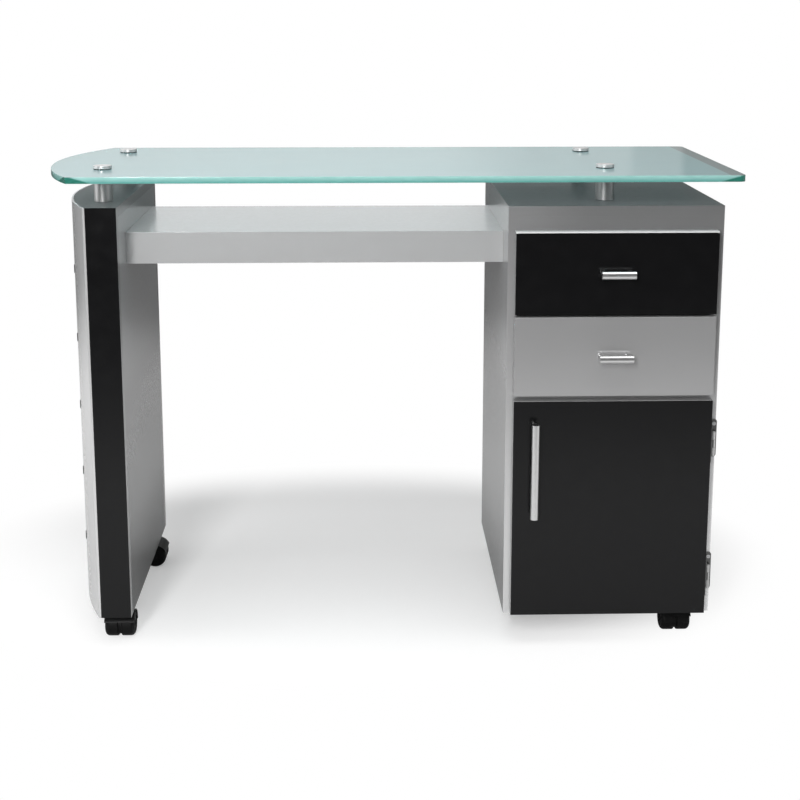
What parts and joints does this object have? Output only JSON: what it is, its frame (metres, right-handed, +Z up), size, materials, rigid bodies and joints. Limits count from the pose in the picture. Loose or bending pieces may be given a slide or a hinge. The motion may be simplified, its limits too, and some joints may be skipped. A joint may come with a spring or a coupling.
{
  "type": "glass-topped desk",
  "caption": "Desk with a glass top bowed at one end, on stand-offs over a D-shaped leg and a pedestal with drawers and a door, joined by a fixed tray, on casters.",
  "frame": {"origin": "on the floor, under the middle of the overall footprint", "axes": "+X to the right as seen from the sitter's side of the drawers, along the length; +Y to the back, away from the drawer fronts; +Z up"},
  "size_m": [1.076, 0.46, 0.766],
  "materials": {
    "glass": "frosted underside, polished edge",
    "satin_metal": "brushed satin",
    "zinc_steel": "bright zinc plate",
    "rubber": "matt",
    "black_board": "black gloss laminate on particle board",
    "silver_board": "silver metallic laminate on particle board",
    "grey_board": "dark grey semi-gloss laminate on particle board",
    "silver_skin": "silver metallic laminate on bent board",
    "raw_wood": "sawn softwood",
    "screw_cap": "dark grey satin",
    "black_plastic": "black satin nylon"
  },
  "bodies": {
    "desk_frame": {"glass_top": "glass", "standoff_posts": "satin_metal", "standoff_caps": "satin_metal", "standoff_gaskets": "rubber", "standoff_studs": "zinc_steel", "leg_inner_panel": "silver_board", "leg_front_strip": "black_board", "leg_rear_strip": "black_board", "leg_outer_skin": "silver_skin", "leg_top_plate": "silver_board", "leg_bottom_plate": "silver_board", "leg_battens": "raw_wood", "leg_skin_screws": "screw_cap", "tray_top": "silver_board", "tray_front_rail": "silver_board", "tray_back_rail": "silver_board", "tray_bottom": "silver_board", "tray_bolts": "zinc_steel", "pedestal_left_side": "silver_board", "pedestal_right_side": "silver_board", "pedestal_top": "silver_board", "pedestal_bottom": "silver_board", "pedestal_back": "silver_board", "pedestal_divider": "silver_board", "pedestal_top_rail": "silver_board", "runner_case_rails": "zinc_steel", "hinge_case_leaves": "satin_metal", "hinge_case_screws": "zinc_steel", "hinge_pins": "satin_metal", "door_catch": "black_plastic", "caster_plates": "zinc_steel", "caster_screws": "zinc_steel"},
    "upper_drawer": {"upper_drawer_front": "black_board", "upper_drawer_sides": "grey_board", "upper_drawer_back": "grey_board", "upper_drawer_bottom": "grey_board", "upper_drawer_rails": "zinc_steel", "upper_drawer_handle": "satin_metal", "upper_drawer_screws": "zinc_steel"},
    "lower_drawer": {"lower_drawer_front": "silver_board", "lower_drawer_sides": "grey_board", "lower_drawer_back": "grey_board", "lower_drawer_bottom": "grey_board", "lower_drawer_rails": "zinc_steel", "lower_drawer_handle": "satin_metal", "lower_drawer_screws": "zinc_steel"},
    "door": {"door_panel": "black_board", "door_handle": "satin_metal", "door_handle_screws": "zinc_steel", "hinge_door_leaves": "satin_metal", "hinge_door_screws": "zinc_steel", "door_strike": "zinc_steel"},
    "front_left_caster": {"front_left_caster_body": "black_plastic"},
    "front_left_wheels": {"front_left_caster_wheels": "black_plastic"},
    "rear_left_caster": {"rear_left_caster_body": "black_plastic"},
    "rear_left_wheels": {"rear_left_caster_wheels": "black_plastic"},
    "front_right_caster": {"front_right_caster_body": "black_plastic"},
    "front_right_wheels": {"front_right_caster_wheels": "black_plastic"},
    "rear_right_caster": {"rear_right_caster_body": "black_plastic"},
    "rear_right_wheels": {"rear_right_caster_wheels": "black_plastic"}
  },
  "joints": [
    {"name": "upper_drawer_slide", "type": "slide", "parent": "desk_frame", "child": "upper_drawer", "axis": [0, -1, 0], "range_m": [0, 0.3]},
    {"name": "lower_drawer_slide", "type": "slide", "parent": "desk_frame", "child": "lower_drawer", "axis": [0, -1, 0], "range_m": [0, 0.3]},
    {"name": "door_hinge", "type": "hinge", "parent": "desk_frame", "child": "door", "pos_m": [0.5103, -0.1942, 0.233], "axis": [0, 0, 1], "range_deg": [0, 120]},
    {"name": "front_left_swivel", "type": "hinge", "parent": "desk_frame", "child": "front_left_caster", "pos_m": [-0.437, -0.128, 0.044], "axis": [0, 0, 1], "continuous": true},
    {"name": "front_left_roll", "type": "hinge", "parent": "front_left_caster", "child": "front_left_wheels", "pos_m": [-0.437, -0.143, 0.02], "axis": [1, 0, 0], "continuous": true},
    {"name": "rear_left_swivel", "type": "hinge", "parent": "desk_frame", "child": "rear_left_caster", "pos_m": [-0.437, 0.166, 0.044], "axis": [0, 0, 1], "continuous": true},
    {"name": "rear_left_roll", "type": "hinge", "parent": "rear_left_caster", "child": "rear_left_wheels", "pos_m": [-0.422, 0.166, 0.02], "axis": [0, 1, 0], "continuous": true},
    {"name": "front_right_swivel", "type": "hinge", "parent": "desk_frame", "child": "front_right_caster", "pos_m": [0.47, -0.128, 0.044], "axis": [0, 0, 1], "continuous": true},
    {"name": "front_right_roll", "type": "hinge", "parent": "front_right_caster", "child": "front_right_wheels", "pos_m": [0.47, -0.143, 0.02], "axis": [1, 0, 0], "continuous": true},
    {"name": "rear_right_swivel", "type": "hinge", "parent": "desk_frame", "child": "rear_right_caster", "pos_m": [0.47, 0.166, 0.044], "axis": [0, 0, 1], "continuous": true},
    {"name": "rear_right_roll", "type": "hinge", "parent": "rear_right_caster", "child": "rear_right_wheels", "pos_m": [0.485, 0.166, 0.02], "axis": [0, 1, 0], "continuous": true}
  ]
}
